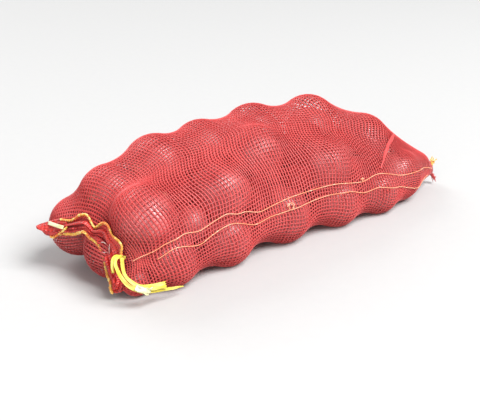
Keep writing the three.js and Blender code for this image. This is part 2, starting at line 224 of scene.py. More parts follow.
class Finish:
    """A material and the one method that adds its nodes."""

    def __init__(self, name):
        self.material = bpy.data.materials.new(name)
        self.material.use_nodes = True
        self.tree = self.material.node_tree
        self.tree.nodes.clear()

    def add(self, kind, settings=None, inputs=None, output=0):
        node = self.tree.nodes.new(kind)
        for key, value in (settings or {}).items():
            if key == "stops":
                ramp = node.color_ramp
                while len(ramp.elements) < len(value):
                    ramp.elements.new(1)
                for element, (place, colour) in zip(ramp.elements, value):
                    element.position = place
                    element.color = (*colour, 1)
            else:
                setattr(node, key, value)
        for key, value in (inputs or {}).items():
            if isinstance(value, Value):
                self.tree.links.new(value.socket, node.inputs[key])
            elif isinstance(value, tuple) and len(value) == 3 and node.inputs[key].type == "RGBA":
                node.inputs[key].default_value = (*value, 1)
            else:
                node.inputs[key].default_value = value
        return Value(self, node.outputs[output]) if node.outputs else None

    def place(self):
        return self.add("ShaderNodeTexCoord", output="Object")

    def cloth(self):
        return self.add("ShaderNodeUVMap", {"uv_map": "cloth"})

    def noise(self, vector, scale, detail=2.0, roughness=0.5):
        return self.add("ShaderNodeTexNoise", None, {"Vector": vector, "Scale": scale, "Detail": detail,
                                                     "Roughness": roughness})

    def mix(self, share, first, second):
        return self.add("ShaderNodeMix", {"data_type": "RGBA"}, {0: share, 6: first, 7: second}, 2)

    def ramp(self, value, *stops):
        return self.add("ShaderNodeValToRGB", {"stops": stops}, {"Fac": value})

    def step(self, value, low, high):
        """0 below low, 1 above high, eased between."""
        return self.add("ShaderNodeMapRange", {"interpolation_type": "SMOOTHSTEP"},
                        {"Value": value, "From Min": low, "From Max": high})

    def parts(self, vector):
        node = self.add("ShaderNodeSeparateXYZ", None, {"Vector": vector})
        outputs = node.socket.node.outputs
        return [Value(self, outputs[n]) for n in range(3)]

    def wave(self, value, length=1.0, operation="SINE"):
        """A sine, or another wave, that repeats after each length."""
        return self.add("ShaderNodeMath", {"operation": operation}, {0: value * (2 * math.pi / length)})

    def vector(self, x, y, z):
        return self.add("ShaderNodeCombineXYZ", None, {"X": x, "Y": y, "Z": z})

    def bump(self, height, strength, distance):
        return self.add("ShaderNodeBump", None, {"Height": height, "Strength": strength,
                                                 "Distance": distance})

    def surface(self, **sockets):
        shader = self.add("ShaderNodeBsdfPrincipled", None,
                          {name.replace("_", " ").title().replace("Ior", "IOR"): value
                           for name, value in sockets.items()})
        self.add("ShaderNodeOutputMaterial", None, {"Surface": shader})
        return self.material


RIB_WIDTH, STITCH_LENGTH = 2.5, 2.7        # of the hem's knit
WEFT_LENGTH = 1.3                          # of the tape's weave


def net_finish(name, light, deep, roughness):
    """Red plastic net thread, a little paler where it is stretched or rubbed."""
    f = Finish(name)
    place = f.place()
    broad = f.noise(place, 22, 3)
    fine = f.noise(place, 420, 2)
    tone = f.step(broad * 0.7 + fine * 0.3, 0.34, 0.66)
    colour = f.mix(tone, deep, light)
    return f.surface(base_color=colour, roughness=fine * 0.25 + roughness,
                     normal=f.bump(f.noise(place, 1500, 1), 0.25, 0.0003),
                     specular_ior_level=0.75, sheen_weight=0.15)


def onion_finish():
    """Dry red onion skin: veins from root to neck, satin gloss, paler papery patches, and painted shade on
    the onions deep inside.
    """
    f = Finish("red_onion_skin")
    turn, height, _ = f.parts(f.add("ShaderNodeUVMap", {"uv_map": "UVMap"}))
    tone = f.add("ShaderNodeAttribute", {"attribute_name": "onion_tone"}, output="Fac")
    cos, sin = f.wave(turn, operation="COSINE"), f.wave(turn)
    veins = f.noise(f.vector(cos * 9 + tone * 40, sin * 9, height * 1.3), 2.4, 3, 0.6)
    threads = f.noise(f.vector(cos * 30 + tone * 40, sin * 30, height * 2), 2.2, 2)
    patches = f.noise(f.vector(cos * 1.2 + tone * 20, sin * 1.2, height * 2.4), 1.6, 3)
    skin = f.ramp(veins, (0.30, (0.44, 0.018, 0.024)), (0.48, (0.60, 0.036, 0.040)),
                  (0.66, (0.73, 0.085, 0.080)))
    papery = f.mix(f.step(patches, 0.55, 0.72) * 0.35, skin, (0.86, 0.22, 0.17))
    aged = f.mix(f.step(height, 0.86, 0.99) * 0.7, papery, (0.60, 0.24, 0.10))
    varied = f.mix(f.step(tone, 0.2, 1.0) * 0.35, aged, (0.42, 0.016, 0.028))
    # Painted shade: onions whose tone is raised by two lie deep inside. Their skin is darkened, dulled and
    # stripped of coat to stand in for the shadow there.
    in_painted_shade = f.step(tone, 1.4, 1.9)
    colour = f.mix(in_painted_shade * 0.6, varied, (0.30, 0.005, 0.009))
    return f.surface(base_color=colour, roughness=patches * 0.2 + 0.36 + in_painted_shade * 0.4,
                     normal=f.bump(threads * 0.6 + veins * 0.4, 0.25, 0.0006),
                     coat_weight=1 - in_painted_shade, coat_roughness=0.50, coat_ior=2.4, specular_ior_level=0.6)


def hem_finish(name, deep, bright, hole_to):
    """Closely knitted red net, its stitch holes painted dark as shade; hole_to says how open its stitches
    are.
    """
    f = Finish(name)
    along, across, _ = f.parts(f.cloth())
    place = f.place()
    ribs, stitches = f.wave(across, RIB_WIDTH), f.wave(along, STITCH_LENGTH)
    broad = f.noise(place, 75, 3)
    knit = stitches * 0.25 + ribs * 0.25 + broad * 0.5 + 0.25
    colour = f.mix(f.step(broad, 0.35, 0.66), deep, bright)
    # Painted shade: the stitch holes get a dark red, as the shaded inside seen through them.
    knit_with_painted_shade = f.mix(f.step(knit, 0.04, hole_to), (0.22, 0.006, 0.010), colour)
    return f.surface(base_color=knit_with_painted_shade, roughness=broad * 0.2 + 0.22,
                     normal=f.bump(knit + broad * 0.8, 0.8, 0.0011), specular_ior_level=0.6, sheen_weight=0.1)


def thread_finish(name, first, second, fleck, fleck_share):
    """Sewing thread whose colour drifts between two, with flecks of a third."""
    f = Finish(name)
    place = f.place()
    drift = f.mix(f.step(f.noise(place, 55, 2), 0.38, 0.62), first, second)
    colour = f.mix(f.step(f.noise(place, 260, 2), 1 - fleck_share, 1.04 - fleck_share), drift, fleck)
    return f.surface(base_color=colour, roughness=f.noise(place, 300) * 0.2 + 0.42,
                     normal=f.bump(f.noise(place, 2200, 1), 0.4, 0.0003), sheen_weight=0.2)


def tape_finish(name, deep, bright, crease):
    """Woven plastic tape: lengthwise fibres, paler where it is creased."""
    f = Finish(name)
    along, across, _ = f.parts(f.cloth())
    place = f.place()
    fibres = f.noise(f.vector(along * 0.05, across * 2.6, 0.0), 1.0, 2, 0.6)
    weave = f.wave(along, WEFT_LENGTH)
    drift = f.noise(place, 48, 2)
    colour = f.mix(f.step(drift, 0.40, 0.64), deep, bright)
    creased = f.mix(f.step(fibres, 0.52, 0.70) * 0.5, colour, crease)
    return f.surface(base_color=creased, roughness=fibres * 0.2 + 0.32,
                     normal=f.bump(fibres + weave * 0.12, 0.55, 0.0005), specular_ior_level=0.5)


# The hoops are a paler red than the wales: painted sheen for their flat, glossy faces.
NET_HOOP_PAINTED_SHEEN = net_finish("net_hoop_thread_painted_sheen", (0.73, 0.080, 0.074), (0.62, 0.048, 0.046), 0.34)
NET_DEEP = net_finish("net_wale_thread", (0.65, 0.052, 0.050), (0.54, 0.034, 0.034), 0.36)
ONION_SKIN = onion_finish()
HEM_KNIT = hem_finish("hem_knit", (0.66, 0.026, 0.024), (0.84, 0.062, 0.048), 0.40)
# The flap's knit is a darker, deeper red copy of the hem's: painted shade, against the strong lamp light that
# falls on the flap.
FLAP_KNIT_PAINTED_SHADE = hem_finish("flap_knit_painted_shade", (0.42, 0.008, 0.006), (0.60, 0.022, 0.012), 0.30)
EDGING_THREAD = thread_finish("edging_thread", (0.91, 0.28, 0.045), (0.93, 0.52, 0.08),
                              (0.96, 0.78, 0.26), 0.46)
SEAM_TWINE = thread_finish("seam_twine", (0.90, 0.42, 0.25), (0.92, 0.30, 0.14), (0.94, 0.66, 0.44), 0.40)
WHITE_TWINE = thread_finish("white_twine", (0.86, 0.74, 0.66), (0.90, 0.84, 0.80), (0.90, 0.55, 0.45), 0.36)
TAPE_WEAVE = tape_finish("tape_weave", (0.74, 0.60, 0.045), (0.82, 0.72, 0.16), (0.90, 0.84, 0.46))
TAPE_PALE = tape_finish("tape_rubbed_pale", (0.84, 0.80, 0.42), (0.90, 0.88, 0.70), (0.93, 0.93, 0.88))


# ---- sizes ----------------------------------------------------------------------------

# The onions by the rows they lie in: x, y, height of the middle, radius.
ONIONS = {
    "top_back": [(-172, 26, 68, 32), (-112, 36, 82, 34), (-48, 44, 84, 33),
                 (22, 44, 87, 35), (98, 38, 87, 33), (148, 2, 63, 34)],
    "top_front": [(-172, -36, 65, 33), (-85, -36, 70, 32), (-22, -12, 88, 32), (58, -32, 63, 32)],
    "low_front": [(-196, -52.5, 14, 13.5), (-157, -52, 27, 28), (-88, -47, 27, 29), (-7, -39, 30, 32),
                  (66, -43, 27, 29), (128, -46, 24, 26), (172, -34, 29, 30), (217, -24, 26.5, 17)],
    "low_back": [(-200, 44, 39, 29), (-132, 48, 27, 29), (-64, 50, 27, 29),
                 (4, 52, 27, 29), (74, 50, 27, 29), (136, 38, 26, 28)],
    "low_middle": [(-192, -8, 30, 28), (-126, -4, 26, 28), (-48, 0, 26, 28), (22, 0, 26, 28),
                   (92, -6, 26, 28)],
}

MOUTH_ARCH = np.array([(-227, 47, 42), (-213, 19, 65), (-193, -46, 57), (-213, -52, 8)], float)
SLIT_HALF_HEIGHT = 2.5
LIP_HEIGHT_UPPER, LIP_HEIGHT_LOWER = 9.5, 9.0
LIP_LEAN_UPPER, LIP_LEAN_LOWER = 2.0, 8.5
# How far each lip's free edge waves away from the slit: angle round the mouth, rise.
UPPER_RISES = [(0, 0), (0.25, 3), (0.6, 0), (0.93, -6), (1.35, 3.2), (1.49, -5.5), (1.7, 8.6), (1.83, 4),
               (1.98, 11), (2.12, 5), (2.5, 2.2), (3.2, 0)]
LOWER_RISES = [(0, 0), (3.1, 0), (3.75, 6), (4.15, 12), (4.6, -4), (4.75, -3.5), (4.88, -6.5),
               (5.15, 1), (5.4, 2.5), (5.62, 8), (5.8, 7), (6.05, 2), (6.3, 0)]
FLAP_REACH, FLAP_WIDTH, FLAP_TOWARDS = 14.0, 0.42, np.array((-0.88, 0.1, 0.42))
TONGUE_TIP, TONGUE_ROOT, TONGUE_FRONT = 0.03, 0.85, np.array((-0.35, -1, 0))
TONGUE_BULGE, TONGUE_BACK_SHARE = 5.0, 0.5

# Where each seam thread runs: share of the sack's length, degrees round it (180 is the side).
UPPER_SEAM = [(0, 140), (0.095, 154), (0.14, 160), (0.19, 166), (0.25, 166), (0.29, 171), (0.36, 179),
              (0.43, 177), (0.58, 176), (0.665, 178), (0.735, 174), (0.815, 179), (1, 165)]
LOWER_SEAM = [(0, 160), (0.11, 166), (0.185, 177), (0.25, 175), (0.335, 188), (0.455, 187), (0.545, 186),
              (0.615, 186), (0.67, 190), (0.715, 188), (0.77, 192), (0.87, 200), (1, 192)]

# A loop and a knot in them: share, degrees, radius, turns.
SEAM_SNAGS = [(0.438, 184.5, 2.9, 1.7), (0.665, 176, 1.1, 2.5)]

# The pleat near the far end, and the place by the mouth where the tape draws the net together.
PLEAT = np.linspace(0.852, 0.742, 60), np.interp(np.linspace(0, 1, 60), [0, 0.1, 0.3, 0.5, 0.8, 1],
                                                 [101, 110, 124, 138, 155, 167])
KNOT_PLACE = (-195, -56, 38)

FAR_STUB, FAR_STUB_RADIUS = np.array((240, -28, 19), float), 6.0
HOOPS = 132                    # threads that run round the sack
WALES = 112                    # pairs of threads that run along it
DRAWN_RINGS = 104              # rings of the surface that is drawn tight before the hoops are laid in it
FIRST_RING_X, LAST_RING_X = -214, 234
MOUTH_BLEND, STUB_BLEND = 0.02, 0.06       # shares of the length where a loose ring turns into each end
NEAR_ENOUGH = 1.25             # a loose ring goes round the balls within this share of their radius
LEAST_REACH, LOOSENESS = 8, 1.05
ROUNDING = 0.8                 # how much a ball's roundness narrows a loose ring beside it
STANDS_OFF = 0.8               # the net's middle stands this far off an onion
FLOOR_CLEARANCE = 1.6          # and this far off the floor
RING_PULL, STEP_SIZE, SETTLING_STEPS = 0.45, 0.95, 650
PITCH_AT_MOUTH, PITCH_AT_FAR_END = 4.5, 5.7       # only their ratio counts: HOOPS share out the length
EVEN_ALONG, EVEN_ROUND = 0.85, 0.6         # how far the knots are moved towards even spacing
HELD_HOOPS = 6                 # hoops at each end over which the net grows free to move
PLEAT_REACH, PLEAT_PULL = 7.0, 0.45
KNOT_REACH, KNOT_PULL = 22.0, 0.34


# ---- the mouth ------------------------------------------------------------------------

def arch(share):
    """Points and directions of the slit's arch at shares of its length."""
    a, b, c, d = MOUTH_ARCH
    s = share[..., None]
    point = (1 - s) ** 3 * a + 3 * s * (1 - s) ** 2 * b + 3 * s * s * (1 - s) * c + s ** 3 * d
    return point, unit((1 - s) ** 2 * (b - a) + 2 * s * (1 - s) * (c - b) + s * s * (d - c))


def between(pairs, place):
    """The values between listed pairs of place and value, eased from each pair to the next."""
    at, value = np.array(pairs, float).T
    after = np.clip(np.searchsorted(at, place, side="right"), 1, len(at) - 1)
    share = (place - at[after - 1]) / (at[after] - at[after - 1])
    share = share * share * (3 - 2 * share)
    return value[after - 1] * (1 - share) + value[after] * share


def mouth(angle, reach):
    """Points of the mouth and their outward sides: reach 0 is the gathers, 1 the free edge."""
    angle, reach = np.broadcast_arrays(np.asarray(angle, float), np.asarray(reach, float))
    share, side = (1 - np.cos(angle)) / 2, np.sin(angle)
    upper = side > 0
    point, along = arch(share)
    up = unit(np.stack([np.zeros_like(side), along[..., 2], -along[..., 1]], axis=-1))
    outward = unit(up * side[..., None] - along * np.cos(angle)[..., None])
    free = np.where(upper, LIP_HEIGHT_UPPER, LIP_HEIGHT_LOWER)
    height = SLIT_HALF_HEIGHT + (free - SLIT_HALF_HEIGHT) * reach
    lean = (LIP_LEAN_UPPER * (1 + side) + LIP_LEAN_LOWER * (1 - side)) / 2
    flap = FLAP_REACH * np.exp(-(np.minimum(angle, 2 * np.pi - angle) / FLAP_WIDTH) ** 2)
    rise = np.where(upper, between(UPPER_RISES, angle), between(LOWER_RISES, angle))
    point = (point + up * (side * height)[..., None] - np.array((1, 0, 0)) * (lean * reach)[..., None]
             + FLAP_TOWARDS * (flap * reach)[..., None] + outward * (rise * reach)[..., None])
    return point, outward


def tongue(angle, way_round, lift=0.0):
    """Points of the stuffed flap: way_round is 0 at the lower lip, 1 at the upper, by the front."""
    angle, way_round = np.broadcast_arrays(np.asarray(angle, float), np.asarray(way_round, float))
    upper, _ = mouth(angle, 1.0)
    lower, _ = mouth(2 * np.pi - angle, 1.0)
    share = ((1 - np.cos(np.pi * way_round)) / 2)[..., None]
    swell = (TONGUE_BULGE * np.sqrt(angle / TONGUE_ROOT) * np.sin(np.pi * way_round)
             * np.where(way_round > 1, TONGUE_BACK_SHARE, 1))
    return lower * (1 - share) + upper * share + TONGUE_FRONT * (swell + lift)[..., None]


# ---- the net's surface ----------------------------------------------------------------

ALL_ONIONS = [onion for row in ONIONS.values() for onion in row]
round_angle = 2 * np.pi * np.arange(WALES) / WALES


def on_floor(points):
    """Points no lower than the net lies."""
    points[..., 2] = np.maximum(points[..., 2], FLOOR_CLEARANCE)
    return points


def outside(points, x, y, z, radius):
    """Points moved straight out of a ball, to where the net lies on it."""
    away = points - (x, y, z)
    distance = np.linalg.norm(away, axis=2, keepdims=True)
    return (x, y, z) + away * np.maximum(1, (radius + STANDS_OFF) / np.maximum(distance, 1e-6))


def loose_rings():
    """The first guess: loose rings round the onions."""
    near, _ = mouth(round_angle, 0.0)
    far = FAR_STUB + np.stack([np.cos(round_angle), FAR_STUB_RADIUS * np.cos(round_angle),
                               FAR_STUB_RADIUS * np.sin(round_angle)], axis=1)
    rings = [near]
    for i in range(1, DRAWN_RINGS - 1):
        share = i / (DRAWN_RINGS - 1)
        x = FIRST_RING_X + (LAST_RING_X - FIRST_RING_X) * share
        gathered = near + (far - near) * share
        gathered[:, 0] += x - gathered[:, 0].mean()
        here = np.array([b for b in ALL_ONIONS if abs(b[0] - x) < b[3] * NEAR_ENOUGH])
        if len(here) == 0:
            rings.append(gathered)
            continue
        middle = (here[:, 1:3].min(0) + here[:, 1:3].max(0)) / 2
        ways = np.stack([np.cos(round_angle), np.sin(round_angle)], axis=1)
        beside = np.sqrt(np.maximum(here[:, 3] ** 2 - (ROUNDING * (here[:, 0] - x)) ** 2, 0))
        reach = LOOSENESS * np.maximum(LEAST_REACH, (ways @ (here[:, 1:3] - middle).T + beside).max(1))
        ring = np.column_stack([np.full(WALES, x), middle + ways * reach[:, None]])
        blend = min(1, share / MOUTH_BLEND, (1 - share) / STUB_BLEND)
        rings.append(gathered * (1 - blend) + ring * blend)
    rings.append(far)
    return on_floor(np.array(rings))


def draw_tight(net):
    """Each knot moves to the middle of its neighbours, then back outside the onions."""
    for _ in range(SETTLING_STEPS):
        round_sack = (np.roll(net, 1, axis=1) + np.roll(net, -1, axis=1))[1:-1] / 2
        along_sack = (net[:-2] + net[2:]) / 2
        knots = net[1:-1] + STEP_SIZE * (RING_PULL * round_sack + (1 - RING_PULL) * along_sack - net[1:-1])
        for x, y, z, radius in ALL_ONIONS:
            near = np.abs(knots[:, :, 0] - x).min(axis=1) < radius + 2
            knots[near] = outside(knots[near], x, y, z, radius)
        net = np.concatenate([net[:1], on_floor(knots), net[-1:]])
    return net


def respaced(lines, even, amount):
    """Lines of points, the points on the first axis, moved along themselves towards even shares."""
    moved = np.empty_like(lines)
    for n in range(lines.shape[1]):
        run = run_along(lines[:, n])
        moved[:, n] = placed_along(lines[:, n], run, run * (1 - amount) + even * run[-1] * amount)
    return moved


def evened(net):
    """The drawn surface cut into hoops, with its knots spaced more evenly, as they are knitted."""
    place = np.linspace(0, len(net) - 1, HOOPS)
    ring = np.minimum(place.astype(int), len(net) - 2)
    part = (place - ring)[:, None, None]
    net = net[ring] * (1 - part) + net[ring + 1] * part
    share = np.linspace(0, 1, HOOPS)
    along = share * (PITCH_AT_MOUTH + (PITCH_AT_FAR_END - PITCH_AT_MOUTH) * share / 2)
    net = respaced(net, along / along[-1], EVEN_ALONG)
    rings = np.swapaxes(np.concatenate([net, net[:, :1]], axis=1), 0, 1)
    net = np.swapaxes(respaced(rings, np.linspace(0, 1, WALES + 1), EVEN_ROUND)[:-1], 0, 1)
    for onion in ALL_ONIONS:
        net = outside(net, *onion)
    return on_floor(net)


def net_sides(net):
    """At each knot: outward, along the sack and round it."""
    round_sack = unit(np.roll(net, -1, axis=1) - np.roll(net, 1, axis=1))
    along_sack = unit(np.gradient(net, axis=0))
    outward = unit(np.cross(round_sack, along_sack))
    return outward, unit(np.cross(outward, round_sack)), round_sack


def soft_field(shape, size, spread):
    """Smooth random numbers over the net's grid, closed round the sack."""
    field = rng.normal(size=shape)
    reach, weights = bell(spread)
    for axis, mode in ((0, "reflect"), (1, "wrap")):
        width = [(reach, reach) if a == axis else (0, 0) for a in range(2)]
        field = np.apply_along_axis(lambda row: np.convolve(row, weights, "valid"), axis,
                                    np.pad(field, width, mode=mode))
    return size * field / field.std()


def net_point(share, degrees):
    """A point of the drawn net at a share of its length and an angle round it, and its outward side."""
    share, degrees = np.broadcast_arrays(np.asarray(share, float), np.asarray(degrees, float))
    at = np.clip(share * (DRAWN_RINGS - 1), 0, DRAWN_RINGS - 1.001)
    turn = (degrees / 360 * WALES) % WALES
    i, k = at.astype(int), turn.astype(int)
    u, v = (at - i)[..., None], (turn - k)[..., None]
    k2 = (k + 1) % WALES

    def blend(grid):
        return ((1 - u) * ((1 - v) * grid[i, k] + v * grid[i, k2])
                + u * ((1 - v) * grid[i + 1, k] + v * grid[i + 1, k2]))
    return blend(drawn), unit(blend(drawn_outward))


def drawn_in(net, line, reach, pull):
    """The net with its knots near a line of points drawn towards it."""
    away = net[:, :, None] - line[None, None]
    distance = np.linalg.norm(away, axis=3)
    nearest = distance.argmin(axis=2)
    offset = np.take_along_axis(away, nearest[..., None, None], axis=2)[:, :, 0]
    ends = np.sin(np.pi * (nearest + 1) / (len(line) + 1)) ** 0.5
    close = (ends * np.exp(-(distance.min(axis=2) / reach) ** 2))[..., None]
    return net - free_share * close * pull * offset


def stray(broad):
    """How far each knot strays one way: together with its neighbours, and by itself."""
    return (soft_field(net.shape[:2], broad, 5) + soft_field(net.shape[:2], 0.16, 0.6))[..., None]


drawn = draw_tight(loose_rings())
drawn_outward, _, _ = net_sides(drawn)
net = evened(drawn)
_, along_sack, round_sack = net_sides(net)
hoop = np.arange(HOOPS)
free_share = np.clip(np.minimum(hoop, HOOPS - 1 - hoop) / HELD_HOOPS, 0, 1)[:, None, None]
net = drawn_in(net, net_point(*PLEAT)[0], PLEAT_REACH, PLEAT_PULL)
net = drawn_in(net, np.array([KNOT_PLACE]), KNOT_REACH, KNOT_PULL)
net = net + free_share * (along_sack * stray(0.7) + round_sack * stray(0.6))
outward, along_sack, round_sack = net_sides(net)


# ---- the tape's two tails: free cords -------------------------------------------------

LONG_TAIL_ROUTE = [
    (-219.3, -57, 44.5), (-221, -59.5, 41), (-221, -63, 36.5), (-220, -67, 31), (-217.5, -71.5, 25.5),
    (-213.5, -76.5, 21.5), (-206.5, -80.5, 18), (-196, -81.5, 15.5), (-184, -81.5, 13), (-172.5, -81.5, 11),
    (-162, -82, 9.5),
]
SHORT_TAIL_ROUTE = [
    (-211, -54, 43), (-212.3, -57, 38.3), (-214, -61, 34), (-214, -65, 29.6), (-212.5, -69.5, 25.8),
    (-209.5, -75, 23), (-204, -80, 21.3), (-196.5, -82, 19.8), (-188.6, -82.3, 18.7), (-182.1, -82.5, 18),
]
LONG_TAIL_FACE, SHORT_TAIL_FACE = (-0.45, -0.75, 0.35), (-0.4, -0.8, 0.4)
TAPE_WIDTH, NARROW_TAPE_WIDTH, TAPE_THICKNESS = 4.6, 4.0, 0.7
TAPE_CORNERS = 14              # points round the tape's section


def tape_band(line, face, width, thickness, curl, ripple, twist=0.0, taper=None, torn=0.0):
    """Points, faces and cloth coordinates of a flat tape along a line; torn is how ragged its end is."""
    line = np.asarray(line, float)
    count, corners = len(line), TAPE_CORNERS
    along = tangents(line)
    up = unit(np.asarray(face, float) - along * (along @ np.asarray(face, float))[:, None])
    side = np.cross(along, up)
    turn = twist * np.linspace(-1, 1, count)[:, None] ** 3 + ripple * wander(count, 0.16, 4)[:, :1]
    up, side = up * np.cos(turn) + side * np.sin(turn), side * np.cos(turn) - up * np.sin(turn)
    share = np.concatenate([np.linspace(-1, 1, corners // 2), np.linspace(1, -1, corners // 2)])
    skin = np.concatenate([np.full(corners // 2, 0.5), np.full(corners // 2, -0.5)])
    breadth = width / 2 * (np.ones(count) if taper is None else np.asarray(taper))
    crumple = ripple * np.stack([wander(count, 0.22, 2.5)[:, 0] for _ in range(corners // 2)], axis=1)
    crumple = np.concatenate([crumple, crumple[:, ::-1]], axis=1)
    lift = curl * share ** 2 * np.sin(np.arange(count) * 0.35)[:, None] + crumple
    section = (side[:, None] * (share[None] * breadth[:, None])[..., None]
               + up[:, None] * (skin[None] * thickness + lift)[..., None])
    ragged = torn * np.array((0.9, -0.6, 0.5, -1.0, 0.2, -0.4, 1.0))
    section[-1] += along[-1] * np.concatenate([ragged, ragged[::-1]])[:, None]
    points, faces = swept(line[None], section[None])
    uv = np.stack(np.broadcast_arrays(run_along(line)[:, None], share[None] * width / 2), axis=-1)
    return points, faces, uv.reshape(-1, 2)


def taped(name, *bands):
    """One piece of tape from several bands."""
    points, faces = joined([band[:2] for band in bands])
    return mesh_piece(name, points, faces, np.vstack([band[2] for band in bands]))


long_line = smooth_line(LONG_TAIL_ROUTE, 70)
short_line = smooth_line(SHORT_TAIL_ROUTE, 54)
long_taper = np.interp(np.linspace(0, 1, 70), [0, 0.2, 0.5, 0.62, 0.9, 1], [0.7, 0.9, 1, 0.9, 0.62, 0.2])
short_taper = np.interp(np.linspace(0, 1, 54), [0, 0.3, 0.6, 0.74, 1], [0.7, 0.75, 0.9, 1.3, 1.4])
for name, line, face, width, taper, torn, node in (
        ("tape_tail_narrow", long_line, LONG_TAIL_FACE, NARROW_TAPE_WIDTH, long_taper, 0.0, "tape_tail_long"),
        ("tape_tail_wide", short_line, SHORT_TAIL_FACE, TAPE_WIDTH, short_taper, 1.3, "tape_tail_short")):
    tail = taped(name, tape_band(line, face, width, TAPE_THICKNESS, curl=0.6, ripple=1.1, taper=taper,
                                 torn=torn))
    finish_piece(tail, TAPE_WEAVE, "tape", node)
    tuple(line[0] * MM)
    (line * MM).tolist()


# ---- the onions -----------------------------------------------------------------------

NECK_RINGS = [                 # height of the ring on the ball, how much narrower, how much higher
    (0.940, 0.96, 0.000), (0.966, 0.84, 0.006), (0.985, 0.72, 0.030), (0.996, 0.80, 0.085),
]
NECK_TIP, ROOT_DIMPLE = 0.07, 0.035        # how far both poles are lifted
HEIGHT_TO_WIDTH = 0.88


def onion_master():
    """One onion, a unit wide: a flattened ball with drawn-in shoulders, neck and root plate."""
    bpy.ops.object.select_all(action="DESELECT")
    bpy.ops.mesh.primitive_uv_sphere_add(segments=48, ring_count=32, radius=1)
    onion = bpy.context.object
    onion.name = "onion"
    bpy.ops.object.mode_set(mode="EDIT")
    edit = bmesh.from_edit_mesh(onion.data)

    def choose(test):
        for vert in edit.verts:
            vert.select = test(vert.co)
        edit.select_flush_mode()
        bmesh.update_edit_mesh(onion.data)

    rings = sorted({round(v.co.z, 4) for v in edit.verts}, reverse=True)
    for height, narrower, higher in NECK_RINGS:
        ring = min(rings, key=lambda z: abs(z - height))
        choose(lambda co: abs(co.z - ring) < 1e-3)
        bpy.ops.transform.resize(value=(narrower, narrower, 1))
        bpy.ops.transform.translate(value=(0, 0, higher))
    choose(lambda co: co.z > 1.0 - 1e-4 and math.hypot(co.x, co.y) < 1e-4)
    bpy.ops.transform.translate(value=(0, 0, NECK_TIP))
    choose(lambda co: co.z < -0.99 and math.hypot(co.x, co.y) < 0.1)
    bpy.ops.transform.translate(value=(0, 0, ROOT_DIMPLE))
    choose(lambda co: True)
    bpy.ops.transform.resize(value=(1, 1, HEIGHT_TO_WIDTH))
    bpy.ops.object.mode_set(mode="OBJECT")
    return onion


# Onions that lie a little off their ball: its place in ONIONS, then how far off and how much smaller.
LIES_OFF = {(98, 38): (0, -4, -6, 3.0), (22, 44): (0, -1, -2, 1.0), (-192, -8): (6, 2, -2, 0.0)}
UNDER_BALL = 0.3               # how much smaller than its ball every onion is
NET_UNDER_ONION = 0.9          # from the net's middle on the floor up to the onions that press on it
# These rows get painted shade in their skin colour, as onions out of the light.
PAINTED_SHADE_ROWS = "low_middle", "hollows"      # out of the light, darker and duller
NEAR_THE_NET, HOW_NEAR = np.array((-128, -42, 55)), 32      # but not those that lie about here
# Which way each row's necks point, and how much they stray from it, in degrees.
NECK_WAYS = {"top_back": ((0.9, 0.25, 0.2), 22), "top_front": ((0.55, 0.2, 0.9), 24),
             "low_front": ((0.15, 0.25, 1), 20), "low_back": ((0.2, -0.1, 1), 25),
             "low_middle": ((0.1, 0.1, 1), 25), "hollows": ((0.3, 0.1, 1), 40)}
SKIN_LOBES = ((2, 0.016), (3, 0.012), (5, 0.006), (11, 0.0022))      # number round it, size
LOBE_SLIMMING = 0.996
HOLLOW_SPACE = ((-205, 225), (-60, 66), (14, 106))      # where hollows are looked for: x, y, z
HOLLOW_STEP, HOLLOW_ONIONS = 6.0, 34       # how finely places are tried, and the most that are filled
NET_TO_HOLLOW, PRESSED_IN = 3.0, 9.0       # air kept to the net, and how far onions may press together
LEAST_HOLLOW, MOST_HOLLOW = 11.0, 27.0


def hollow_onions():
    """More onions for the largest hollows between the others, clear of the net."""
    balls = np.array(ALL_ONIONS, float)
    knots, ways = net.reshape(-1, 3)[::3], outward.reshape(-1, 3)[::3]
    axes = [np.arange(low, high, HOLLOW_STEP) for low, high in HOLLOW_SPACE]
    places = np.stack(np.meshgrid(*axes, indexing="ij"), axis=-1).reshape(-1, 3)
    away = places[:, None] - knots[None]
    reach = np.linalg.norm(away, axis=2)
    nearest = reach.argmin(axis=1)
    rows = np.arange(len(places))
    inside = (away[rows, nearest] * ways[nearest]).sum(axis=1) < 0
    to_net = np.where(inside, reach[rows, nearest], 0) - NET_TO_HOLLOW
    found = []
    for _ in range(HOLLOW_ONIONS):
        to_balls = np.linalg.norm(places[:, None] - balls[None, :, :3], axis=2) - balls[None, :, 3]
        room = np.minimum(to_net, to_balls.min(axis=1) + PRESSED_IN)
        best = room.argmax()
        if room[best] < LEAST_HOLLOW:
            break
        found.append((*places[best], min(room[best], MOST_HOLLOW)))
        balls = np.vstack([balls, found[-1]])
    return found


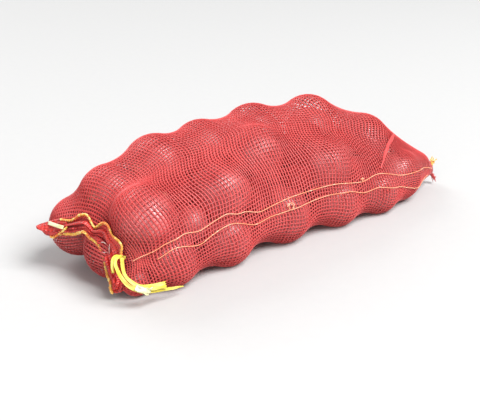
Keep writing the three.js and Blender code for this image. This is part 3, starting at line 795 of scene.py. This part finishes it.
def fill_with_onions():
    """A copy of the onion for each place, each a little different, as one piece."""
    master = onion_master()
    count = len(master.data.vertices)
    shape = np.zeros(3 * count)
    master.data.vertices.foreach_get("co", shape)
    shape = shape.reshape(-1, 3)
    copies = []
    for row, places in (*ONIONS.items(), ("hollows", hollow_onions())):
        way, strays_by = NECK_WAYS[row]
        for x, y, z, radius in places:
            *off, smaller = LIES_OFF.get((x, y), (0, 0, 0, 0))
            place = np.add((x, y, z), off)
            own = shape.copy()
            turn = np.arctan2(own[:, 1], own[:, 0])
            for lobes, size in SKIN_LOBES:
                lean = rng.uniform(0, 2 * np.pi)
                own[:, :2] *= (1 + size * np.sin(lobes * turn + lean))[:, None] * LOBE_SLIMMING
            neck = Vector(way) + Vector(rng.normal(size=3)) * math.tan(math.radians(strays_by)) * 0.7
            if rng.random() < 0.5:
                neck = -neck
            neck.normalize()
            pose = (Matrix.Translation(place) @ neck.to_track_quat("Z", "Y").to_matrix().to_4x4()
                    @ Matrix.Rotation(rng.uniform(0, 2 * np.pi), 4, "Z")
                    @ Matrix.Scale(radius - smaller - UNDER_BALL, 4))
            own = own @ np.array(pose.to_3x3()).T + np.array(pose.translation)
            own[:, 2] = np.maximum(own[:, 2], FLOOR_CLEARANCE + NET_UNDER_ONION)
            own *= MM
            mesh = master.data.copy()
            mesh.vertices.foreach_set("co", own.ravel())
            tone = mesh.attributes.new("onion_tone", "FLOAT", "POINT")
            # Painted shade: a deep onion's tone is raised by two, which darkens and dulls its skin.
            in_painted_shade = row in PAINTED_SHADE_ROWS and np.linalg.norm(place - NEAR_THE_NET) > HOW_NEAR
            tone.data.foreach_set("value", np.full(count, rng.random() + 2 * in_painted_shade))
            mesh.polygons.foreach_set("use_smooth", [True] * len(mesh.polygons))
            copy = bpy.data.objects.new("onion_copy", mesh)
            bpy.context.collection.objects.link(copy)
            copies.append(copy)
    bpy.data.objects.remove(master)
    bpy.ops.object.select_all(action="DESELECT")
    for copy in copies:
        copy.select_set(True)
    bpy.context.view_layer.objects.active = copies[0]
    bpy.ops.object.join()
    copies[0].name = "onions"
    return copies[0]


finish_piece(fill_with_onions(), ONION_SKIN, "net", "net_sack")


# ---- the net's threads ----------------------------------------------------------------

HOOP_WIDTH, HOOP_THICKNESS = 1.65, 0.42
WALE_RADIUS, WALE_SWING = 0.46, 0.34
PLEAT_LIFT, PLEAT_WIDTH, PLEAT_THICKNESS = 1.4, 4.2, 0.8


def net_hoops():
    """The flat threads that run round the sack, each a closed loop."""
    uneven = soft_field(net.shape[:2], 0.10, 1.2) + soft_field(net.shape[:2], 0.14, 7)
    width, thick = HOOP_WIDTH / 2 * (1 + uneven)[..., None], HOOP_THICKNESS / 2
    section = np.stack([along_sack * width, outward * thick, -along_sack * width, -outward * thick], axis=2)
    points, faces = swept(net, section, closed=True)
    return mesh_piece("net_hoops", points, faces)


def net_wales(side):
    """One thread of each twisted pair along the sack; side is +1 over the hoops, -1 under."""
    swing = side * WALE_SWING * np.where(np.arange(HOOPS) % 2 == 0, 1, -1)[:, None, None]
    line = net + round_sack * swing + outward * side * (HOOP_THICKNESS / 2 + WALE_RADIUS * 0.6)
    line = np.swapaxes(line, 0, 1)
    out, across = np.swapaxes(outward, 0, 1), np.swapaxes(round_sack, 0, 1)
    corners = 2 * np.pi * (np.arange(3) / 3 + 0.25)
    section = WALE_RADIUS * (np.cos(corners)[None, None, :, None] * across[:, :, None]
                             + np.sin(corners)[None, None, :, None] * out[:, :, None])
    points, faces = swept(line, section)
    return mesh_piece("net_wales_over" if side > 0 else "net_wales_under", points, faces)


def net_pleat():
    """The net's slack near the far end, laid over in a narrow strip."""
    line, out = net_point(*PLEAT)
    breadth = np.interp(np.linspace(0, 1, len(line)), [0, 0.15, 0.6, 1], [0.6, 1.1, 0.9, 0.3])
    return taped("net_pleat", tape_band(line + out * PLEAT_LIFT, out.mean(axis=0), PLEAT_WIDTH,
                                        PLEAT_THICKNESS, curl=-0.4, ripple=1.2, taper=breadth))


for net_piece, finish in ((net_hoops(), NET_HOOP_PAINTED_SHEEN), (net_wales(1), NET_DEEP), (net_wales(-1), NET_DEEP),
                          (net_pleat(), NET_DEEP)):
    finish_piece(net_piece, finish, "net", "net_sack")


# ---- the hem and its edging -----------------------------------------------------------

HEM_THICKNESS = 0.9
HEM_FROM = -0.35               # the band begins this far behind the gathers
HEM_RIDGE, HEM_RIDGE_WIDTH, HEM_BULGE = 0.55, 5.2, 0.5
GAP_FROM, GAP_TO, GAP_TOP, GAP_BOTTOM = 1.72, 1.93, 0.50, 0.97       # the gap in the hem
GAP_IN_LOWER, GAP_IN_UPPER = 0.85, 0.35    # how far up each lip the gap reaches
GAP_DEPTH, GAP_RIM = 6, 1.9                # how far in its rim is drawn, and how far out the rim begins
FOLDS_TOWARDS = np.array((-0.92, -0.30, 0.25))


def cloth_piece(name, point, uv, wrap=False, without=None):
    """A piece of net cloth from a grid of points in millimetres, given its thickness; faces whose
    points are all marked in without are left out."""
    point[..., 2] = np.maximum(point[..., 2], HEM_THICKNESS / 2 + 0.1)
    rows, columns = point.shape[:2]
    faces = grid_faces(rows, columns, wrap_columns=wrap)
    if without is not None:
        faces = faces[~without[faces].all(axis=1)]
    kept, faces = np.unique(faces, return_inverse=True)
    piece = mesh_piece(name, point.reshape(-1, 3)[kept], faces.reshape(-1, 4).tolist(),
                       uv.reshape(-1, 2)[kept])
    solidify = piece.modifiers.new("cloth", "SOLIDIFY")
    solidify.thickness, solidify.offset = HEM_THICKNESS * MM, 0
    bpy.context.view_layer.objects.active = piece
    bpy.ops.object.modifier_apply(modifier=solidify.name)
    return piece


def hem_band():
    """The knitted band of the mouth from its gathers to the free edges, all the way round."""
    rows, columns = 18, 480
    angle = 2 * np.pi * np.arange(columns) / columns
    reach = np.linspace(HEM_FROM, 1.0, rows)[:, None]
    point, out = mouth(angle[None], reach)
    edge, _ = mouth(angle, 1.0)
    run = np.cumsum(np.linalg.norm(edge - np.roll(edge, 1, axis=0), axis=1))
    ridge = np.sin(run * 2 * np.pi / HEM_RIDGE_WIDTH + 1.3 * np.sin(run / 17))
    ridge = ridge * (1 - 0.75 * np.clip(reach, 0, 1))
    point = (point + out * (HEM_RIDGE * ridge)[..., None]
             + out * (HEM_BULGE * np.sin(run / 3.4 + 2.1 * reach))[..., None])
    uv = np.stack(np.broadcast_arrays(run[None], reach * 12), axis=-1)
    from_end = np.minimum(angle, 2 * np.pi - angle)[None]
    gap_reach = np.where(angle > np.pi, GAP_IN_LOWER, GAP_IN_UPPER)[None]
    in_gap = (from_end > GAP_FROM) & (from_end < GAP_TO) & (reach < gap_reach)
    return cloth_piece("hem_band", point, uv, wrap=True, without=in_gap.ravel())


# The hem's slack lies in lengthwise folds inside the mouth: share of the way from the upper
# lip to the lower, and how far out of the mouth the fold stands.
HEM_FOLDS = [(0, 1.0), (0.16, -2.6), (0.36, 3.6), (0.52, -2.8), (0.66, 2.4), (0.76, -1.6), (0.88, 3.4),
             (1, 1.4)]
FOLDS_FROM, FOLDS_TO = 0.62, 2.75


def hem_folds():
    """The folded net between the two lips, with a gap that shows the dark inside."""
    rows, columns = 64, 170
    angle = np.linspace(FOLDS_FROM, FOLDS_TO, columns)[None]
    down = np.linspace(0, 1, rows)[:, None]
    upper, _ = mouth(angle, 0.72)
    lower, _ = mouth(2 * np.pi - angle, 0.86)
    drift = wander(columns, 0.035, 12)[:, 0][None] * np.sin(np.pi * down)
    out = between(HEM_FOLDS, np.clip(down + drift, 0, 1)) * (0.75 + 0.5 * np.sin(angle * 5.3 + 4 * down))
    ruck = 0.6 * np.sin(angle * 31 + 3 * np.sin(5 * down)) + soft_field((rows, columns), 1.1, 4)
    ruck *= np.sin(np.pi * down)
    share = down[..., None] + drift[..., None]
    point = upper * (1 - share) + lower * share + FOLDS_TOWARDS * (out + ruck)[..., None]
    from_gap = (((angle - (GAP_FROM + GAP_TO) / 2) / ((GAP_TO - GAP_FROM) / 2)) ** 2
                + ((down - (GAP_TOP + GAP_BOTTOM) / 2) / ((GAP_BOTTOM - GAP_TOP) / 2)) ** 2)
    point[..., 0] += GAP_DEPTH * np.clip(GAP_RIM - from_gap, 0, 1)
    uv = np.stack(np.broadcast_arrays(run_along(upper[0])[None], down * 22), axis=-1)
    return cloth_piece("hem_folds", point, uv, without=(from_gap < 1).ravel())


def flap_tongue():
    """The stuffed flap: one closed lobe of the same knit."""
    rows, columns = 60, 48
    angle = np.linspace(TONGUE_TIP, TONGUE_ROOT, rows)[:, None]
    way_round = (2 * np.arange(columns) / columns)[None]
    ruck = 0.35 * np.sin(angle * 16 + 2 * way_round) * np.sin(np.pi * way_round)
    uv = np.stack(np.broadcast_arrays(angle * 26, way_round * 16), axis=-1)
    faces = grid_faces(rows, columns).tolist()
    faces += [list(range(columns - 1, -1, -1)), list(range((rows - 1) * columns, rows * columns))]
    return mesh_piece("flap_tongue", tongue(angle, way_round, ruck).reshape(-1, 3), faces, uv.reshape(-1, 2))


for knit_piece, finish in ((hem_band(), HEM_KNIT), (hem_folds(), HEM_KNIT), (flap_tongue(), FLAP_KNIT_PAINTED_SHADE)):
    finish_piece(knit_piece, finish, "net", "net_sack")

EDGING_RADIUS = 0.85
STITCH_RADIUS, STITCH_STRAY, STITCH_EVERY = 0.3, 0.12, 3
STITCH_SLANT, STITCH_OUT, STITCH_SUNK, STITCH_SIDE = 0.45, 1.25, 0.35, 1.2


def lip_line(start, end):
    """The line just in front of a lip's free edge, and its outward sides."""
    line, out = mouth(np.linspace(start, end, 1200), 1.0)
    return line + np.array((-0.9, 0, 0.25)) + out * 0.3, out


def edging(name, line, out, count):
    """A thick edging thread along a line, whipped over with small stitches."""
    run = run_along(line)
    even = np.linspace(0, run[-1], count)
    line, out = placed_along(line, run, even), placed_along(out, run, even)
    line = line + wander(count, 0.16, 3)
    line[:, 2] = np.maximum(line[:, 2], EDGING_RADIUS + 0.3)
    core = twine(line, EDGING_RADIUS * 0.55, strands=3, turn_length=4.2, sides=6, normal=(-1, 0, 0.3))
    along = tangents(line)
    out = unit(out - along * (along * out).sum(1)[:, None])
    side = np.cross(along, out)
    step = np.arange(2, count - 2, STITCH_EVERY)
    turn = 2 * np.pi * np.arange(9) / 9
    loops = (line[step][:, None] + along[step][:, None] * (STITCH_SLANT * np.sin(turn))[None, :, None]
             + out[step][:, None] * (STITCH_OUT * np.cos(turn) - STITCH_SUNK)[None, :, None]
             + side[step][:, None] * (STITCH_SIDE * np.sin(turn))[None, :, None])
    loops = loops + rng.normal(size=(len(step), 1, 3)) * STITCH_STRAY
    hoop_out = unit(loops - line[step][:, None])
    hoop_along = np.broadcast_to(along[step][:, None], hoop_out.shape)
    corner = 2 * np.pi * np.arange(4) / 4
    section = STITCH_RADIUS * (np.cos(corner)[None, None, :, None] * hoop_out[:, :, None]
                               + np.sin(corner)[None, None, :, None] * hoop_along[:, :, None])
    return mesh_piece(name, *joined([core, swept(loops, section, closed=True)]))


FLAP_EDGING_ROUTE = [(0.56, 0.03), (0.62, 0.1), (0.68, 0.2), (0.76, 0.35), (0.82, 0.5), (0.86, 0.62)]


def flap_line():
    """The line across the flap's root, from the lower lip up to the tape."""
    angle, way_round = np.array(FLAP_EDGING_ROUTE).T
    line = smooth_line(tongue(angle, way_round, 1.1), 160)
    return line, np.broadcast_to(unit(TONGUE_FRONT), line.shape)


for which, line, count in (("upper", lip_line(0.74, 2.3), 200), ("lower", lip_line(3.35, 5.46), 230),
                           ("flap", flap_line(), 34)):
    finish_piece(edging("hem_edging_" + which, *line, count), EDGING_THREAD, "edging", "edging_" + which)


# ---- the seam's two threads -----------------------------------------------------------

SEAM_POINTS, SEAM_STRAND = 420, 0.30
SEAM_LIFT, SEAM_DIP = 1.15, 0.18


def seam_twine(name, begin, end, route, turn_length):
    """A two-strand thread that lies on the net along the side seam, dipping between hoops."""
    share = np.linspace(begin, end, SEAM_POINTS)
    degrees = between(route, share) + wander(SEAM_POINTS, 0.5, 9)[:, 0]
    point, out = net_point(share, degrees)
    lift = SEAM_LIFT + SEAM_DIP * np.sin(share * (HOOPS - 1) * np.pi)
    return mesh_piece(name, *twine(point + out * lift[:, None], SEAM_STRAND, 2, turn_length, sides=5,
                                   normal=(0, -1, 0.3)))


for which, *course in (("upper", 0.035, 0.985, UPPER_SEAM, 3.4), ("lower", 0.085, 0.95, LOWER_SEAM, 3.1)):
    finish_piece(seam_twine("seam_twine_" + which, *course), SEAM_TWINE, "seam_thread",
                 "seam_thread_" + which)


def seam_snags():
    """A slack loop and a small knot in the seam threads."""
    parts = []
    for share, degrees, radius, turns in SEAM_SNAGS:
        point, out = net_point(share, degrees)
        side = unit(np.cross(out, (0, 0, 1)))
        up = np.cross(side, out)
        turn = np.linspace(0, 2 * np.pi * turns, int(26 * turns))[:, None]
        size = radius * (1 + 0.25 * np.sin(1.7 * turn))
        ring = (point + out * (1.6 + 0.12 * turn) + side * size * 1.25 * np.cos(turn)
                + up * size * np.sin(turn))
        parts.append(twine(ring, 0.26, strands=2, turn_length=3.0, sides=5, normal=out))
    return mesh_piece("seam_snags", *joined(parts))


finish_piece(seam_snags(), SEAM_TWINE, "seam_thread", "seam_thread_upper")


# ---- the tape's loop over the hem, and its scrap by the flap --------------------------

def tape_loop():
    """The tape where it is drawn over the hem: a bight that hangs and a turn behind it."""
    bight = smooth_line([(-206, -50, 38.5), (-209.9, -51.5, 41.5), (-214, -53, 44.8), (-218.2, -54.5, 46.4),
                         (-221.6, -56, 43.8), (-223.6, -58, 39.2), (-224.2, -60, 34.2)], 34)
    turn = smooth_line([(-205, -50.5, 40), (-207.8, -52, 41.5), (-212.5, -54, 44.6), (-217.4, -56, 45.4),
                        (-220, -57.2, 43)], 26)
    first = tape_band(bight, (-0.5, -0.7, 0.5), width=3.8, thickness=0.8, curl=0.6, ripple=1.3, twist=0.4,
                      taper=np.linspace(1.1, 0.6, len(bight)), torn=0.7)
    second = tape_band(turn, (-0.45, -0.75, 0.45), width=3.2, thickness=0.8, curl=0.6, ripple=1.3)
    return taped("tape_loop", first, second)


finish_piece(tape_loop(), TAPE_WEAVE, "tape", "tape_knot")


def tape_crumple():
    """The rubbed, twisted stretch where the two tails lie together, and a flake that hangs from it."""
    twist = smooth_line([(-211.6, -77.5, 22.5), (-207.5, -81.3, 20.2), (-203, -83, 18.8),
                         (-198.5, -83.2, 18.4)], 30)
    flake = smooth_line([(-205, -83, 18.2), (-203.5, -83.4, 16), (-201, -83.2, 14.6)], 14)
    first = tape_band(twist, (-0.45, -0.8, 0.4), width=5.6, thickness=0.7, curl=0.9, ripple=2.2, twist=0.5,
                      torn=0.8)
    second = tape_band(flake, (-0.5, -0.8, 0.3), width=4.2, thickness=0.6, curl=0.5, ripple=1.2, twist=0.3,
                       taper=np.linspace(1, 0.5, len(flake)), torn=0.8)
    return taped("tape_crumple", first, second)


def tape_scrap():
    """The short straight end of tape that crosses the flap."""
    start, end = tongue((0.45, 0.78), (1.03, 0.62), 2.8)
    line = smooth_line([start, (start + end) / 2 + TONGUE_FRONT * 0.6, end], 26)
    return taped("tape_scrap", tape_band(line, (-0.45, -0.8, 0.4), width=3.6, thickness=0.9, curl=0.3,
                                         ripple=0.5, torn=0.6))


finish_piece(tape_crumple(), TAPE_PALE, "tape", "tape_tail_short")
finish_piece(tape_scrap(), TAPE_PALE, "tape", "tape_at_flap")


# Each tie's route: angle round the mouth, share of the way from the upper lip to the lower, how proud.
MOUTH_TIES = [[(1.74, 0.86, 0), (1.77, 0.68, 1.6), (1.80, 0.56, 1.8), (1.825, 0.58, 0.4)],
              [(1.865, 0.40, 0.3), (1.90, 0.44, 1.9), (1.93, 0.54, 2.0), (1.94, 0.66, 0.2)],
              [(1.83, 1.0, 0.4), (1.855, 0.93, 2.0), (1.885, 0.84, 1.8), (1.905, 0.74, 0.2)]]


def mouth_ties():
    """White stitches that cross the gap of the mouth."""
    parts = []
    for tie in MOUTH_TIES:
        route = []
        for angle, down, proud in tie:
            upper, _ = mouth(angle, 0.8)
            lower, _ = mouth(2 * np.pi - angle, 0.9)
            route.append(upper * (1 - down) + lower * down - np.array((proud, 0, 0)))
        parts.append(twine(smooth_line(route, 26), 0.2, strands=2, turn_length=2.4, sides=5,
                           normal=(-1, 0, 0)))
    return mesh_piece("mouth_ties", *joined(parts))


finish_piece(mouth_ties(), WHITE_TWINE, "seam_thread")


# ---- the far end ----------------------------------------------------------------------

STUB_ROUTE = np.array([(232, -28.5, 18.5), (239, -29.5, 15.5), (242.5, -31.5, 10.5), (244.5, -33, 6.5)])
TUFT_ROUTE = np.array([(237, -29, 20.5), (241, -28.4, 22), (244.5, -27.6, 25), (247, -27, 29)])
STUB_THREADS, TUFT_THREADS, FRAY_RADIUS = 46, 13, 0.42
STUB_SPREAD = np.array([4.6, 3.0, 2.6, 3.4])            # at each point of its route
TUFT_STRAY = np.array([0.3, 0.8, 1.3, 2.0])


def frayed_stub():
    """The net's threads gathered into a short frayed tail that bends towards the floor."""
    parts = []
    for n in range(STUB_THREADS):
        turn, reach = rng.uniform(0, 2 * np.pi), math.sqrt(rng.uniform(0.05, 1))
        spread = STUB_SPREAD[:, None] * reach
        own = STUB_ROUTE + spread * np.array((0.25 * math.cos(turn), math.cos(turn), math.sin(turn)))
        own[-1] += rng.normal(size=3) * 1.3
        own[:, 2] = np.maximum(own[:, 2], 1.0)
        line = smooth_line(own[: 3 if n % 4 == 0 else 4], 10)
        parts.append(twine(line, FRAY_RADIUS, strands=1, turn_length=6.0, sides=4, normal=(1, 0, 0)))
    return mesh_piece("stub_fray", *joined(parts))


def thread_tuft():
    """The seam threads' ends, knotted at the stub."""
    parts = []
    for _ in range(TUFT_THREADS):
        own = TUFT_ROUTE + rng.normal(size=TUFT_ROUTE.shape) * TUFT_STRAY[:, None]
        parts.append(twine(smooth_line(own, 14), FRAY_RADIUS, strands=2, turn_length=3.0, sides=5,
                           normal=(1, 0, 0)))
    turn = np.linspace(0, 4.5 * np.pi, 40)
    knot = np.stack([243.5 + turn * 0.1, -27.6 + 1.7 * np.cos(turn), 23 + 1.9 * np.sin(turn)], axis=1)
    parts.append(twine(knot, 0.4, strands=2, turn_length=3.0, sides=5, normal=(1, 0, 0)))
    return mesh_piece("stub_thread_tuft", *joined(parts))


finish_piece(frayed_stub(), NET_DEEP, "net", "net_sack")
finish_piece(thread_tuft(), EDGING_THREAD, "seam_thread", "far_thread_tuft")


# ---- the floor and the light ----------------------------------------------------------

def floor_finish():
    f = Finish("pale_floor")
    grain = f.noise(f.place(), 90, 3)
    return f.surface(base_color=f.mix(grain, (0.52, 0.52, 0.52), (0.54, 0.54, 0.537)), roughness=0.7)


bpy.ops.object.select_all(action="DESELECT")
bpy.ops.mesh.primitive_plane_add(size=60, location=(0, 0, 0))
floor = bpy.context.object
floor.name = "floor"
floor.data.materials.append(floor_finish())


def soft_light(name, way, distance, size, power):
    """A square lamp that shines on the sack from a given way."""
    lamp = bpy.data.objects.new(name, bpy.data.lights.new(name, "AREA"))
    lamp.data.shape, lamp.data.size, lamp.data.energy = "SQUARE", size, power
    way = Vector(way).normalized()
    lamp.location = way * distance
    lamp.rotation_euler = way.to_track_quat("Z", "Y").to_euler()
    bpy.context.collection.objects.link(lamp)


soft_light("key_light", (0.23, -0.54, 0.81), distance=5.0, size=2.8, power=405)
soft_light("fill_light", (-0.9, -0.5, 0.5), distance=4.0, size=2.2, power=46)
soft_light("rim_light", (0.0, 0.9, 0.7), distance=5.0, size=3.0, power=105)
SKY_STRENGTH = 0.34
world = bpy.data.worlds.new("studio")
world.use_nodes = True
world.node_tree.nodes["Background"].inputs["Color"].default_value = (1, 1, 1, 1)
world.node_tree.nodes["Background"].inputs["Strength"].default_value = SKY_STRENGTH
bpy.context.scene.world = world
bpy.context.scene.view_settings.view_transform = "Standard"
